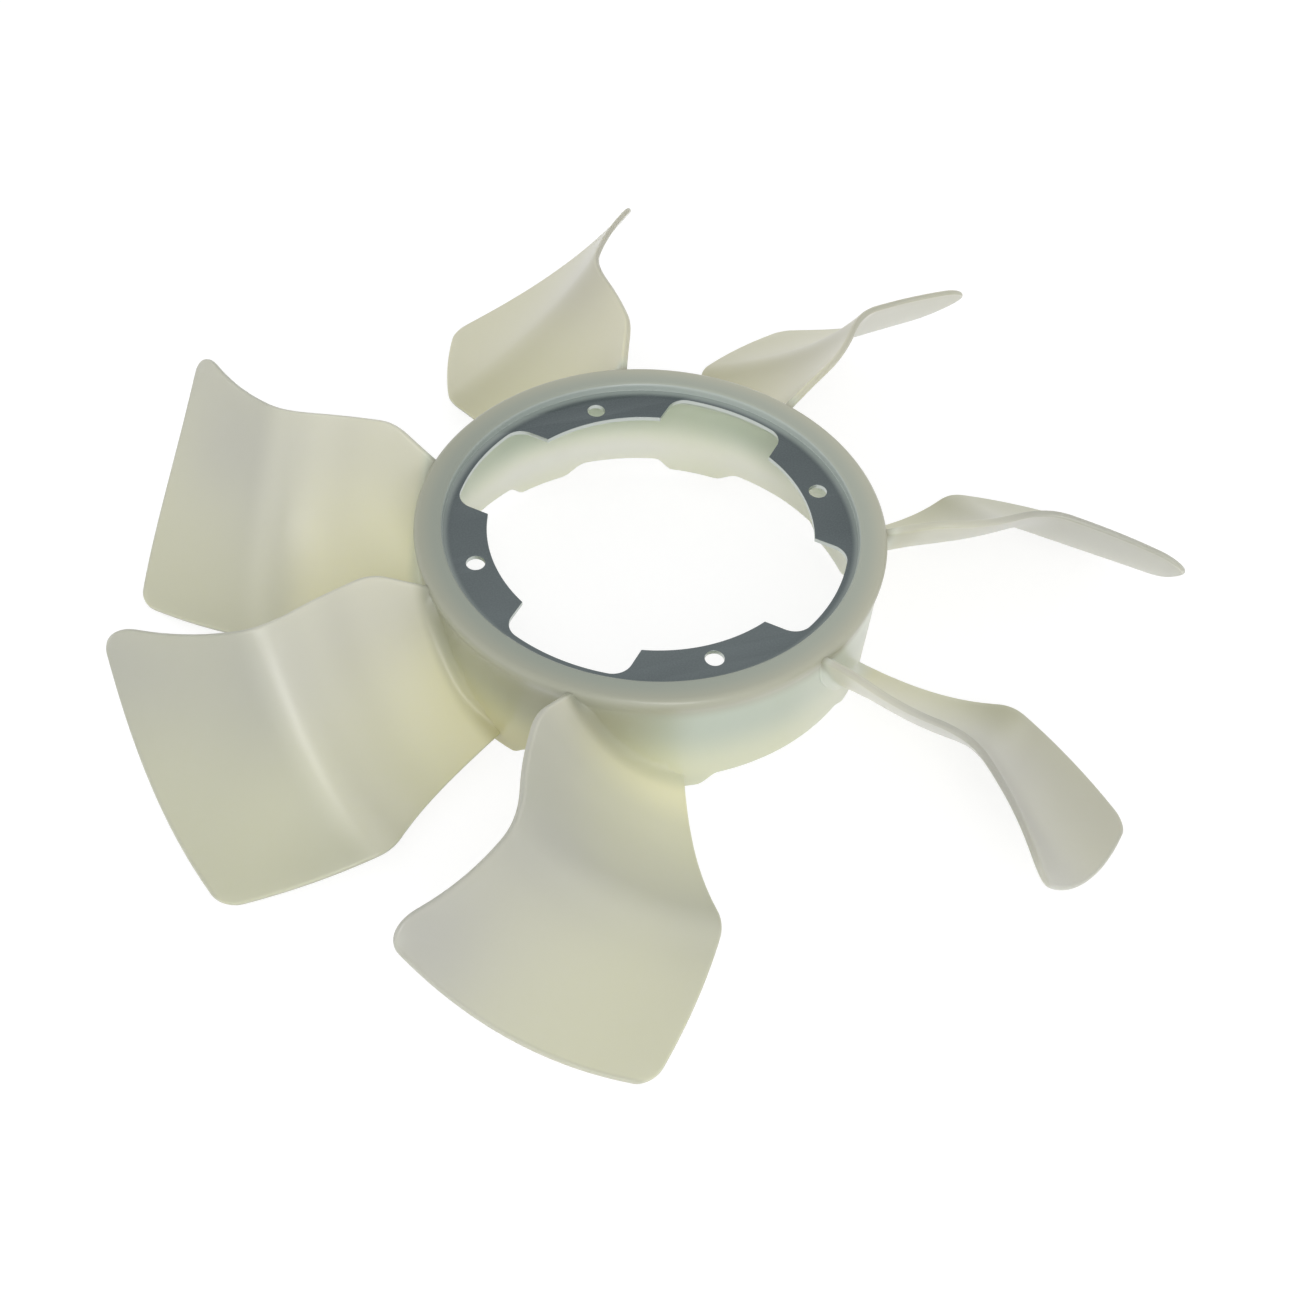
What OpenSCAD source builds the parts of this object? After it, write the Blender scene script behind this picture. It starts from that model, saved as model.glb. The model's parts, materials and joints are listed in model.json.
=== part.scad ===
// Radiator fan: one nylon moulding with seven unevenly spaced blades, moulded round a steel ring.
// Millimetres. The origin is the centre of the bolt circle on the steel ring's top face.
// +Z is the fan's axis, towards the rim. A bolt hole lies on +X.

/* [Steel ring] */
// Thickness of the steel ring
steel_t = 2; // [1.5:0.1:3]
// Diameter of the circle through the bolt holes
bolt_circle_d = 146; // [144:0.5:154]
// Diameter of a bolt hole
bolt_hole_d = 7.5; // [5:0.1:9]
// Number of bolt holes, with one land round each
bolt_count = 4; // [3:1:5]
// Steel left between a bolt hole and the inner edge of its land, which fits round the clutch
land_web = 3.15; // [2:0.05:6]
// Width of a recess between two lands
recess_w = 51; // [30:1:60]
// Steel left between a recess and the plastic
recess_margin = 4; // [2:0.1:8]
// Radius of a recess's corners
recess_corner_r = 8; // [3:0.5:12]
// How far the steel reaches into the plastic
steel_grip = 7; // [4:0.1:8]
// Number of half-round notches that key the steel's hidden edge
key_count = 16; // [8:1:24]
// Radius of a key notch
key_r = 3; // [1.5:0.1:3.5]

/* [Hub] */
// Diameter of the plastic bore above the steel
bore_d = 167.4; // [160:0.1:180]
// Width of the rim's top
rim_w = 11.4; // [10.5:0.1:16]
// Height of the rim above the steel
rim_rise = 3.8; // [2:0.1:8]
// How far the rim's outer band reaches below the steel's top face
band_drop = 0.3; // [0:0.1:8]
// How far the rim stands out from the wall
rim_overhang = 1; // [0.4:0.1:2]
// Radius of the rim's outer edge
rim_outer_round = 2.5; // [0.5:0.1:3.5]
// Radius of the rim's inner edge
rim_inner_round = 0.8; // [0.3:0.1:1.5]
// Thickness of the ledge under the steel
ledge_t = 4.5; // [2:0.1:8]
// Depth of the wall below the steel's top face, between the blades
wall_depth = 45.2; // [38:0.1:55]
// Thickness of the wall at its lower edge
wall_t = 4.2; // [2.5:0.1:5]
// How much the wall's outside narrows from top to bottom
wall_draft = 0.8; // [0.3:0.1:3]
// How much the wall's inside widens from top to bottom
core_draft = 1.2; // [0.3:0.1:1.8]

/* [Lugs under the blades] */
// How far a lug hangs below the wall's lower edge
lug_drop = 5.8; // [3:0.1:9]
// Width of a lug at its full depth
lug_w = 20; // [12:0.5:26]
// How far a lug's full depth reaches past the blade's lower edge
lug_beyond = 5.5; // [2:0.1:9]
// Width of a lug's slope on the side past the blade
lug_short_slope = 8; // [4:0.5:12]
// Width of a lug's slope on the side under the blade
lug_long_slope = 12; // [6:0.5:16]

/* [Blades] */
// Direction of each blade from +X, in degrees
blade_angles = [-5.3, 46.7, 92.7, 155.9, 199.8, 246.8, 308.2]; // [-10:0.1:350]
// Distance of the shoulder on the upper edge from the hub wall
shoulder_out = 21.1; // [14:0.1:30]
// Distance of the crease across the blade from the hub wall
crease_out = 63.8; // [54:0.1:74]
// Width of the outer panel, from the crease to the tip
outer_panel = 57; // [45:0.1:70]
// Half the width of the rolled crease at the upper edge
crease_roll = 11.3; // [9:0.1:14]
// Half the width of the rolled crease at the lower edge
lower_crease_roll = 5.6; // [3:0.1:7]
// Half the width of the rolled shoulder
shoulder_roll = 6.3; // [3:0.1:8]
// Radius of the tip's upper corner
upper_corner_r = 12.4; // [8:0.1:18]
// Radius of the tip's lower corner
lower_corner_r = 6.4; // [3:0.1:10]
// Thickness of a blade at the hub
blade_t_root = 3.2; // [2.4:0.1:4]
// Thickness of a blade at the tip
blade_t_tip = 2.4; // [1.8:0.1:3]
// Distance over which a blade's edges are rounded
edge_round = 0.8; // [0.5:0.1:2]
// Size of the fillet where a blade meets the hub
root_fillet = 4; // [2:0.1:6]

/* [Upper edge of a blade] */
// Angle of the upper edge at the hub, from the blade's direction
upper_root_angle = -14.3; // [-17:0.1:-11]
// Angle of the upper edge at the shoulder
upper_shoulder_angle = -16.6; // [-19:0.1:-13]
// Angle of the upper edge in the middle of the inner panel
upper_mid_angle = -14.8; // [-17:0.1:-12]
// Angle of the upper edge at the crease
upper_crease_angle = -12; // [-15:0.1:-9]
// Angle of the upper edge in the middle of the outer panel
upper_outer_angle = -15.3; // [-18:0.1:-12]
// Angle of the upper edge at the tip
upper_tip_angle = -20.1; // [-24:0.1:-16]
// Distance of the upper edge at the hub below the rim's top
upper_root_drop = 2.1; // [1.6:0.1:6]
// Height of the shoulder above the rim's top
upper_shoulder_rise = 8.9; // [4:0.1:14]
// Height of the upper edge in the middle of the inner panel above the rim's top
upper_mid_rise = 8; // [4:0.1:12]
// Height of the upper edge at the crease above the rim's top
upper_crease_rise = 9.1; // [4:0.1:14]
// Height of the upper edge in the middle of the outer panel above the rim's top
upper_outer_rise = 5.9; // [0:0.1:10]
// Height of the upper edge at the tip above the rim's top
upper_tip_rise = 6; // [0:0.1:10]

/* [Lower edge of a blade] */
// Angle of the lower edge at the hub, from the blade's direction
lower_root_angle = 13.1; // [10:0.1:16]
// Angle of the lower edge in the middle of the inner panel
lower_mid_angle = 12.6; // [9:0.1:15]
// Angle of the lower edge at the crease
lower_crease_angle = 14.7; // [11:0.1:17]
// Angle of the lower edge in the middle of the outer panel
lower_outer_angle = 9.8; // [6:0.1:13]
// Angle of the lower edge at the tip
lower_tip_angle = 5; // [1:0.1:9]
// Distance of the lower edge at the hub above the wall's lower edge
lower_root_rise = 0.3; // [-1:0.1:6]
// Distance of the lower edge in the middle of the inner panel below the wall's lower edge
lower_mid_drop = 3.5; // [0:0.1:7]
// Distance of the lower edge at the crease below the wall's lower edge
lower_crease_drop = 2.9; // [0:0.1:7]
// Distance of the lower edge in the middle of the outer panel below the wall's lower edge
lower_outer_drop = 7.5; // [4:0.1:11]
// Distance of the lower edge at the tip below the wall's lower edge
lower_tip_drop = 12.5; // [9:0.1:16]

/* [Bow of a blade across its width] */
// Depth of the bow at the hub
bow_root = 6.9; // [3:0.1:9]
// Depth of the bow in the middle of the inner panel
bow_mid = 6.7; // [3:0.1:9]
// Depth of the bow at the crease
bow_crease = 8.4; // [4:0.1:11]
// Depth of the bow in the middle of the outer panel
bow_outer = 11.3; // [7:0.1:14]
// Depth of the bow at the tip
bow_tip = 10.3; // [6:0.1:13]

/* [Hidden] */
$fn = 180;
nylon_color = [0.84, 0.84, 0.77];
steel_color = [0.27, 0.3, 0.33];
// Overshoot of a cutting solid past the face that it cuts
over = 1;

land_r = (bolt_circle_d - bolt_hole_d) / 2 - land_web;
bore_r = bore_d / 2;
rim_r = bore_r + rim_w;
steel_r = bore_r + steel_grip;
recess_r = bore_r - recess_margin;
wall_top_r = rim_r - rim_overhang;
wall_low_r = wall_top_r - wall_draft;
core_low_r = wall_low_r - wall_t;
core_top_r = core_low_r - core_draft;
ledge_z = -steel_t - ledge_t;
wall_z = -wall_depth;
lug_z = wall_z - lug_drop;

// Radii of the blade's stations. The root end is buried in the middle of the wall.
root_r = (wall_top_r + wall_low_r) / 2;
buried_r = wall_low_r - wall_t / 2;
shoulder_r = root_r + shoulder_out;
crease_r = root_r + crease_out;
tip_r = crease_r + outer_panel;

// Stations of the upper edge: hub, shoulder, middle, crease, outer middle, tip
upper_angles = [upper_root_angle, upper_shoulder_angle, upper_mid_angle,
                upper_crease_angle, upper_outer_angle, upper_tip_angle];
upper_heights = [for (rise = [-upper_root_drop, upper_shoulder_rise, upper_mid_rise,
                              upper_crease_rise, upper_outer_rise, upper_tip_rise]) rim_rise + rise];
// Stations of the lower edge and of the bow: hub, middle, crease, outer middle, tip
lower_angles = [lower_root_angle, lower_mid_angle, lower_crease_angle,
                lower_outer_angle, lower_tip_angle];
lower_heights = [for (drop = [-lower_root_rise, lower_mid_drop, lower_crease_drop,
                              lower_outer_drop, lower_tip_drop]) wall_z - drop];
bows = [bow_root, bow_mid, bow_crease, bow_outer, bow_tip];

// Curve through three values
function through(t, t0, t1, t2, v0, v1, v2) =
    v0 * (t - t1) * (t - t2) / ((t0 - t1) * (t0 - t2))
    + v1 * (t - t0) * (t - t2) / ((t1 - t0) * (t1 - t2))
    + v2 * (t - t0) * (t - t1) / ((t2 - t0) * (t2 - t1));

// Slope of a function of the radius
function slope(f, r) = (f(r + 0.01) - f(r - 0.01)) / 0.02;

// Smooth cubic from the value and slope of f at r0 to those of g at r1
function bridge(r, r0, r1, f, g) =
    let (h = r1 - r0, x = (r - r0) / h, y = 1 - x)
    f(r0) * (1 + 2 * x) * y * y + slope(f, r0) * h * x * y * y
    + g(r1) * x * x * (3 - 2 * x) - slope(g, r1) * h * x * x * y;

// f inside the roll at centre, g outside it, and a smooth bend between
function rolled(r, centre, half, f, g) =
    r < centre - half ? f(r) : r > centre + half ? g(r) : bridge(r, centre - half, centre + half, f, g);

outer_mid_r = (crease_r + tip_r) / 2;

// Value at radius r of what has five stations: hub, middle, crease, outer middle, tip
function along_lower(r, v) =
    let (mid_r = (root_r + crease_r) / 2,
         inner = function (t) through(t, root_r, mid_r, crease_r, v[0], v[1], v[2]),
         outer = function (t) through(t, crease_r, outer_mid_r, tip_r, v[2], v[3], v[4]))
    rolled(r, crease_r, lower_crease_roll, inner, outer);

// Value at radius r of the upper edge, which has the shoulder as a station too
function along_upper(r, v) =
    let (mid_r = (shoulder_r + crease_r) / 2,
         neck = function (t) v[0] + (v[1] - v[0]) * (t - root_r) / (shoulder_r - root_r),
         inner = function (t) through(t, shoulder_r, mid_r, crease_r, v[1], v[2], v[3]),
         outer = function (t) through(t, crease_r, outer_mid_r, tip_r, v[3], v[4], v[5]))
    r < shoulder_r + shoulder_roll
        ? rolled(r, shoulder_r, shoulder_roll, neck, inner)
        : rolled(r, crease_r, crease_roll, inner, outer);

// Section of the blade at radius r: the angle and height of its upper end, its run and its fall
function section(r) =
    let (angle = along_upper(r, upper_angles), height = along_upper(r, upper_heights))
    [angle, height,
     r * (along_lower(r, lower_angles) - angle) * PI / 180,
     along_lower(r, lower_heights) - height];

// Point of the middle surface at radius r and share s of the chord
function mid_point(r, s) =
    let (sec = section(r), run = sec[2], fall = sec[3], chord = norm([run, fall]),
         bow = 4 * s * (1 - s) * along_lower(r, bows),
         turn = sec[0] + (s * run + bow * fall / chord) / r * 180 / PI)
    [r * cos(turn), r * sin(turn), sec[1] + s * fall - bow * run / chord];

// Unit normal of the middle surface
function normal(r, s) =
    let (d = 0.01,
         n = cross(mid_point(r + d, s) - mid_point(r - d, s), mid_point(r, s + d) - mid_point(r, s - d)))
    n / norm(n);

// Chord taken off at radius r by a tip corner of the given radius
function corner_cut(r, corner) =
    let (t = max(0, r - (tip_r - corner)))
    corner - sqrt(max(0, corner * corner - t * t));

// Thickness at radius r, with the fillet's flare at the hub and the rounded tip
edge_share = 0.6;
function thickness(r) =
    let (taper = blade_t_root + (blade_t_tip - blade_t_root) * (r - root_r) / (tip_r - root_r),
         flare = max(0, 1 - (r - root_r) / root_fillet))
    (taper + root_fillet * flare * flare) * (r > tip_r - edge_round / 2 ? edge_share : 1);

// Radii of the blade's sections, closer at the hub, the shoulder, the crease and the tip
fillet_steps = [0, 0.25, 0.55, 1];
corner_turns = [0, 28, 50, 68];
section_radii = concat(
    [buried_r],
    [for (f = fillet_steps) root_r + root_fillet * f],
    [for (k = [-1:1:1]) shoulder_r + k * shoulder_roll],
    [for (k = [1:3]) let (r0 = shoulder_r + shoulder_roll, r1 = crease_r - crease_roll) r0 + (r1 - r0) * k / 4],
    [crease_r - crease_roll],
    [for (k = [-1:0.5:1]) crease_r + k * lower_crease_roll],
    [crease_r + crease_roll],
    [for (k = [1:2]) let (r0 = crease_r + crease_roll, r1 = tip_r - upper_corner_r) r0 + (r1 - r0) * k / 3],
    [for (a = corner_turns) tip_r - upper_corner_r * (1 - sin(a))],
    [tip_r - edge_round / 2, tip_r]);

// Shares of the chord across a section, with a narrow step at each edge
across = 9;
function shares(r) =
    let (sec = section(r), chord = norm([sec[2], sec[3]]),
         first = corner_cut(r, upper_corner_r) / chord,
         last = 1 - corner_cut(r, lower_corner_r) / chord,
         step = edge_round / chord)
    concat([first], [for (k = [0:across]) first + step + (last - first - 2 * step) * k / across], [last]);

// One row of points at radius r on one side of the middle surface
function row(r, side) =
    let (list = shares(r), last = len(list) - 1)
    [for (k = [0:last])
        let (half = thickness(r) / 2 * (k == 0 || k == last ? edge_share : 1))
        mid_point(r, list[k]) + side * half * normal(r, list[k])];

// Two triangles between the corners a, b, c and d
function two(a, b, c, d) = [[a, b, c], [a, c, d]];

module blade() {
    rows = len(section_radii);
    columns = across + 3;
    under = rows * columns;
    points = [for (side = [1, -1]) for (r = section_radii) each row(r, side)];
    function at(i, k) = i * columns + k;
    last_row = rows - 1;
    last_column = columns - 1;
    faces = [
        for (i = [0:rows - 2]) for (k = [0:columns - 2])
            each concat(
                two(at(i, k), at(i, k + 1), at(i + 1, k + 1), at(i + 1, k)),
                two(under + at(i, k), under + at(i + 1, k), under + at(i + 1, k + 1), under + at(i, k + 1))),
        for (i = [0:rows - 2])
            each concat(
                two(at(i, 0), at(i + 1, 0), under + at(i + 1, 0), under + at(i, 0)),
                two(at(i + 1, last_column), at(i, last_column),
                    under + at(i, last_column), under + at(i + 1, last_column))),
        for (k = [0:columns - 2])
            each concat(
                two(at(0, k + 1), at(0, k), under + at(0, k), under + at(0, k + 1)),
                two(at(last_row, k), at(last_row, k + 1),
                    under + at(last_row, k + 1), under + at(last_row, k)))];
    polyhedron(points, faces, convexity = 4);
}

// Points of an arc about [x, y], from one angle to another
function arc(x, y, radius, from, to, steps) =
    [for (k = [0:steps]) let (a = from + (to - from) * k / steps) [x + radius * cos(a), y + radius * sin(a)]];

// Half section of the hub: the rim with its rounded edges, the ledge under the steel, and the
// tapered wall down to the lugs' depth
module hub_section() {
    lug_share = lug_drop / (wall_z - ledge_z);
    polygon(concat(
        [[bore_r, ledge_z]],
        arc(bore_r + rim_inner_round, rim_rise - rim_inner_round, rim_inner_round, 180, 90, 4),
        arc(rim_r - rim_outer_round, rim_rise - rim_outer_round, rim_outer_round, 90, 0, 6),
        [[rim_r, -band_drop],
         [wall_top_r, -band_drop - rim_overhang],
         [wall_low_r + wall_draft * lug_share, lug_z],
         [core_low_r - core_draft * lug_share, lug_z],
         [core_top_r, ledge_z]]));
}

// Outline of one lug, seen from outside the hub: smooth slopes on both sides, which start in the
// wall and run on past the lug's lower face
module lug_outline() {
    steps = 6;
    high = wall_z + over;
    deep = lug_z - over;
    left = -lug_w / 2 - lug_long_slope;
    right = lug_w / 2 + lug_short_slope;
    ease = [for (k = [0:steps]) (1 - cos(180 * k / steps)) / 2];
    polygon(concat(
        [for (k = [0:steps]) [left + lug_long_slope * k / steps, high + (deep - high) * ease[k]]],
        [for (k = [0:steps]) [right - lug_short_slope * (1 - k / steps), deep + (high - deep) * ease[k]]]));
}

// What is cut from the hub's lower edge between the lugs that carry the blades
module between_lugs() {
    lug_angle = lower_root_angle + (lug_beyond - lug_w / 2) / wall_low_r * 180 / PI;
    inside = core_top_r - wall_t;
    difference() {
        translate([0, 0, lug_z - over])
            cylinder(r = rim_r, h = lug_drop + over);
        for (angle = blade_angles)
            rotate([0, 0, angle + lug_angle])
                translate([inside, 0, 0])
                rotate([90, 0, 90])
                linear_extrude(height = rim_r + over - inside)
                lug_outline();
    }
}

// The steel ring's blank, with the half-round notches that key its edge in the plastic
module steel_blank() {
    translate([0, 0, -steel_t])
        linear_extrude(height = steel_t)
        difference() {
            circle(r = steel_r);
            for (k = [0:key_count - 1])
                rotate([0, 0, 360 * (k + 0.5) / key_count])
                    translate([steel_r, 0])
                    circle(r = key_r, $fn = 48);
        }
}

// One recess between two lands: parallel sides, rounded corners and an arc near the plastic
module recess() {
    corner_y = recess_w / 2 - recess_corner_r;
    corner_x = sqrt(pow(recess_r - recess_corner_r, 2) - corner_y * corner_y);
    reach = 2 * recess_r;
    translate([0, -recess_w / 2])
        square([corner_x, recess_w]);
    for (side = [-1, 1])
        translate([corner_x, side * corner_y])
            circle(r = recess_corner_r, $fn = 96);
    intersection() {
        circle(r = recess_r);
        polygon([[0, 0], [reach, -reach * corner_y / corner_x], [reach, reach * corner_y / corner_x]]);
    }
}

module fan_moulding() {
    color(nylon_color)
        difference() {
            union() {
                difference() {
                    rotate_extrude()
                        hub_section();
                    between_lugs();
                }
                for (angle = blade_angles)
                    rotate([0, 0, angle])
                        blade();
            }
            steel_blank();
        }
}

module steel_insert_ring() {
    color(steel_color)
        difference() {
            steel_blank();
            translate([0, 0, -steel_t - over])
                linear_extrude(height = steel_t + 2 * over) {
                    circle(r = land_r);
                    for (k = [0:bolt_count - 1])
                        rotate([0, 0, 360 * (k + 0.5) / bolt_count])
                            recess();
                }
            for (k = [0:bolt_count - 1])
                rotate([0, 0, 360 * k / bolt_count])
                    translate([bolt_circle_d / 2, 0, -steel_t - over])
                    cylinder(d = bolt_hole_d, h = steel_t + 2 * over, $fn = 48);
        }
}

fan_moulding();
steel_insert_ring();
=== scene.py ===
import json
import math

import bmesh
import bpy
import numpy as np
from mathutils import Matrix, Vector

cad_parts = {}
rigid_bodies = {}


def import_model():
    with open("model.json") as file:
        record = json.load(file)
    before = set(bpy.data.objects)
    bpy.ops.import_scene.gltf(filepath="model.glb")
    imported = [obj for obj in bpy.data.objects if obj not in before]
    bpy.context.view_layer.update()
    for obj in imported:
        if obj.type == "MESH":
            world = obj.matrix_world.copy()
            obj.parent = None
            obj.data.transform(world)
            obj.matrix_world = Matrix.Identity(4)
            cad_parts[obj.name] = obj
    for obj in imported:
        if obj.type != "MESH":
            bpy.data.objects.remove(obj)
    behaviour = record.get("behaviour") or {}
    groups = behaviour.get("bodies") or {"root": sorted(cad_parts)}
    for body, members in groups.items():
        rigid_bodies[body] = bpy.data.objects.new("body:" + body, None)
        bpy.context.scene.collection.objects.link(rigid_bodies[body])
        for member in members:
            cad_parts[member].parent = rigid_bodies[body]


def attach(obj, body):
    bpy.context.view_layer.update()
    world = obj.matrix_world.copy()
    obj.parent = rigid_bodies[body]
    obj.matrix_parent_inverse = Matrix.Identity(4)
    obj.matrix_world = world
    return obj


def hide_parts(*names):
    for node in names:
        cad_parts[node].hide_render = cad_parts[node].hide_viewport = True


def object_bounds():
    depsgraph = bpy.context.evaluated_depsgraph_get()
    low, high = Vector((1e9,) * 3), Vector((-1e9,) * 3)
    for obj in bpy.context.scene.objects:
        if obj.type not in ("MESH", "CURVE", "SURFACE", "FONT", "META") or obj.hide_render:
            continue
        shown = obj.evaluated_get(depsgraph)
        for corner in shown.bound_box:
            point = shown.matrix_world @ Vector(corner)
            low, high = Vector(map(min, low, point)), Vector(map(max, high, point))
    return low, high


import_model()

cad_low, cad_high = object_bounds()

# Sizes in millimetres, named as in the part's source
METRE = 0.001
STEEL_T = 2.0
LAND_WEB = 3.15
BOLT_CIRCLE_D = 146.0
BOLT_HOLE_D = 7.5
BOLT_COUNT = 4
RECESS_W = 51.0
RECESS_MARGIN = 4.0
RECESS_CORNER_R = 8.0
STEEL_GRIP = 7.0
BORE_R = 83.7
RIM_W = 11.4
RIM_RISE = 3.8
BAND_DROP = 0.3
RIM_OVERHANG = 1.0
RIM_OUTER_ROUND = 2.5
LEDGE_T = 4.5
WALL_DEPTH = 45.2
WALL_T = 4.2
WALL_DRAFT = 0.8
CORE_DRAFT = 1.2
LUG_DROP = 5.8
LUG_W = 20.0
LUG_BEYOND = 5.5
LUG_SHORT_SLOPE = 8.0
LUG_LONG_SLOPE = 12.0
BLADE_ANGLES = (-5.3, 46.7, 92.7, 155.9, 199.8, 246.8, 308.2)
SHOULDER_OUT = 21.1
CREASE_OUT = 63.8
OUTER_PANEL = 57.0
CREASE_ROLL = 11.3
LOWER_CREASE_ROLL = 5.6
SHOULDER_ROLL = 6.3
UPPER_CORNER_R = 12.4
LOWER_CORNER_R = 6.4
BLADE_T_ROOT = 3.2
BLADE_T_TIP = 2.4

LAND_R = (BOLT_CIRCLE_D - BOLT_HOLE_D) / 2 - LAND_WEB
RIM_R = BORE_R + RIM_W
STEEL_R = BORE_R + STEEL_GRIP
RECESS_R = BORE_R - RECESS_MARGIN
WALL_TOP_R = RIM_R - RIM_OVERHANG
WALL_LOW_R = WALL_TOP_R - WALL_DRAFT
CORE_LOW_R = WALL_LOW_R - WALL_T
CORE_TOP_R = CORE_LOW_R - CORE_DRAFT
LEDGE_Z = -STEEL_T - LEDGE_T
WALL_Z = -WALL_DEPTH
BAND_Z = -BAND_DROP - RIM_OVERHANG
ROOT_R = (WALL_TOP_R + WALL_LOW_R) / 2
BURIED_R = WALL_LOW_R - WALL_T / 2
SHOULDER_R = ROOT_R + SHOULDER_OUT
CREASE_R = ROOT_R + CREASE_OUT
TIP_R = CREASE_R + OUTER_PANEL
OUTER_MID_R = (CREASE_R + TIP_R) / 2

# Stations of the upper edge: hub, shoulder, middle, crease, outer middle, tip
UPPER_ANGLES = (-14.3, -16.6, -14.8, -12.0, -15.3, -20.1)
UPPER_HEIGHTS = tuple(RIM_RISE + rise for rise in (-2.1, 8.9, 8.0, 9.1, 5.9, 6.0))
# Stations of the lower edge and of the bow: hub, middle, crease, outer middle, tip
LOWER_ANGLES = (13.1, 12.6, 14.7, 9.8, 5.0)
LOWER_HEIGHTS = tuple(WALL_Z - drop for drop in (-0.3, 3.5, 2.9, 7.5, 12.5))
BOWS = (6.9, 6.7, 8.4, 11.3, 10.3)

# Rounding that only this finer model has
BLADE_EDGE_ROUND = 1.2
EDGE_SQUARENESS = 2.4
TOP_FLARE = 6.0
UNDER_FLARE = 3.0
UPPER_FADE = 15.0
LOWER_FADE = 32.0
LOWER_EDGE_ROUND = 0.8
LEDGE_ROUND = 0.5
STEEL_EDGE_ROUND = 0.22
BORE_FOOT_ROUND = 0.12
BORE_EDGE_ROUND = 1.7
RIM_BLEND_Z = -4.5

# Sections of the blade's mesh. Shares are of the fillet's radius, and of the edge's rounding.
SLOPE_STEP = 0.01
FILLET_SHARES = (-0.12, -0.04, 0, 0.034, 0.086, 0.134, 0.2, 0.293, 0.4, 0.5, 0.62, 0.741, 0.87, 1, 1.15)
NECK_START_SHARE = 1.35
EDGE_SHARES = np.array([0, 0.01, 0.05, 0.2, 0.5, 1])
NECK_SECTIONS = 5
SHOULDER_SECTIONS = 8
PANEL_SECTIONS = 9
CREASE_SECTIONS = 20
CORNER_SECTIONS = 11
CORNER_ARC = 62
CLOSEST_SECTIONS = 0.05
CHORD_STEPS = 26

# Rings of the hub's mesh. A hold is a ring beside a rounding that keeps the face next to it flat.
HUB_STEPS = 400
BORE_EDGE_STEPS = 8
RIM_EDGE_STEPS = 9
LOWER_EDGE_STEPS = 4
LEDGE_EDGE_STEPS = 3
HOLD = 0.3
RIM_TOP_INNER_HOLD = 0.5
RIM_TOP_OUTER_HOLDS = (3.2, 0.6)
BLEND_SHARES = (0, 0.12, 0.25, 0.38, 0.5, 0.62, 0.75, 0.88, 1)
OUTER_WALL_SHARES = (0.06, 0.15, 0.26, 0.38, 0.5, 0.63, 0.75, 0.86, 0.95, 1.0)
INNER_WALL_SHARES = (0.05, 0.14, 0.25, 0.37, 0.5, 0.63, 0.75, 0.86, 0.95, 1.0)
# The hollow corner under the ledge: where it starts below the ledge, its points and its end
LEDGE_CORNER = 2.0
LEDGE_CORNER_POINTS = ((0.05, 1.1), (0.5, 0.35), (1.2, 0.0))
LEDGE_END = 1.2

# Shading and outline of the pieces
NYLON_SHARP_ANGLE = 75
STEEL_SHARP_ANGLE = 40
STEEL_OUTER_STEPS = 240
BOLT_HOLE_STEPS = 48
LAND_STEPS = 24
RECESS_CORNER_STEPS = 14
MERGE_DISTANCE = 0.01


# Turning about the fan's axis

def turned(x, y, turn):
    """The point x, y turned by an angle in radians."""
    return (x * math.cos(turn) - y * math.sin(turn), x * math.sin(turn) + y * math.cos(turn))


def turn_matrix(turn):
    return np.array([[math.cos(turn), -math.sin(turn), 0], [math.sin(turn), math.cos(turn), 0], [0, 0, 1]])


# Blade surface

def through(t, t0, t1, t2, v0, v1, v2):
    """Curve through three values."""
    return (v0 * (t - t1) * (t - t2) / ((t0 - t1) * (t0 - t2))
            + v1 * (t - t0) * (t - t2) / ((t1 - t0) * (t1 - t2))
            + v2 * (t - t0) * (t - t1) / ((t2 - t0) * (t2 - t1)))


def slope(f, r):
    return (f(r + SLOPE_STEP) - f(r - SLOPE_STEP)) / (2 * SLOPE_STEP)


def rolled(r, centre, half, f, g):
    """f inside the roll at centre, g outside it, and a smooth cubic bend between."""
    r0 = centre - half
    r1 = centre + half
    x = (r - r0) / (r1 - r0)
    y = 1 - x
    bend = (f(r0) * (1 + 2 * x) * y * y + slope(f, r0) * (r1 - r0) * x * y * y
            + g(r1) * x * x * (3 - 2 * x) - slope(g, r1) * (r1 - r0) * x * x * y)
    return np.where(r < r0, f(r), np.where(r > r1, g(r), bend))


def along_lower(r, v):
    mid_r = (ROOT_R + CREASE_R) / 2

    def inner(t):
        return through(t, ROOT_R, mid_r, CREASE_R, v[0], v[1], v[2])

    def outer(t):
        return through(t, CREASE_R, OUTER_MID_R, TIP_R, v[2], v[3], v[4])

    return rolled(r, CREASE_R, LOWER_CREASE_ROLL, inner, outer)


def along_upper(r, v):
    mid_r = (SHOULDER_R + CREASE_R) / 2

    def neck(t):
        return v[0] + (v[1] - v[0]) * (t - ROOT_R) / (SHOULDER_R - ROOT_R)

    def inner(t):
        return through(t, SHOULDER_R, mid_r, CREASE_R, v[1], v[2], v[3])

    def outer(t):
        return through(t, CREASE_R, OUTER_MID_R, TIP_R, v[3], v[4], v[5])

    near_hub = rolled(r, SHOULDER_R, SHOULDER_ROLL, neck, inner)
    near_tip = rolled(r, CREASE_R, CREASE_ROLL, inner, outer)
    return np.where(r < SHOULDER_R + SHOULDER_ROLL, near_hub, near_tip)


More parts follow.
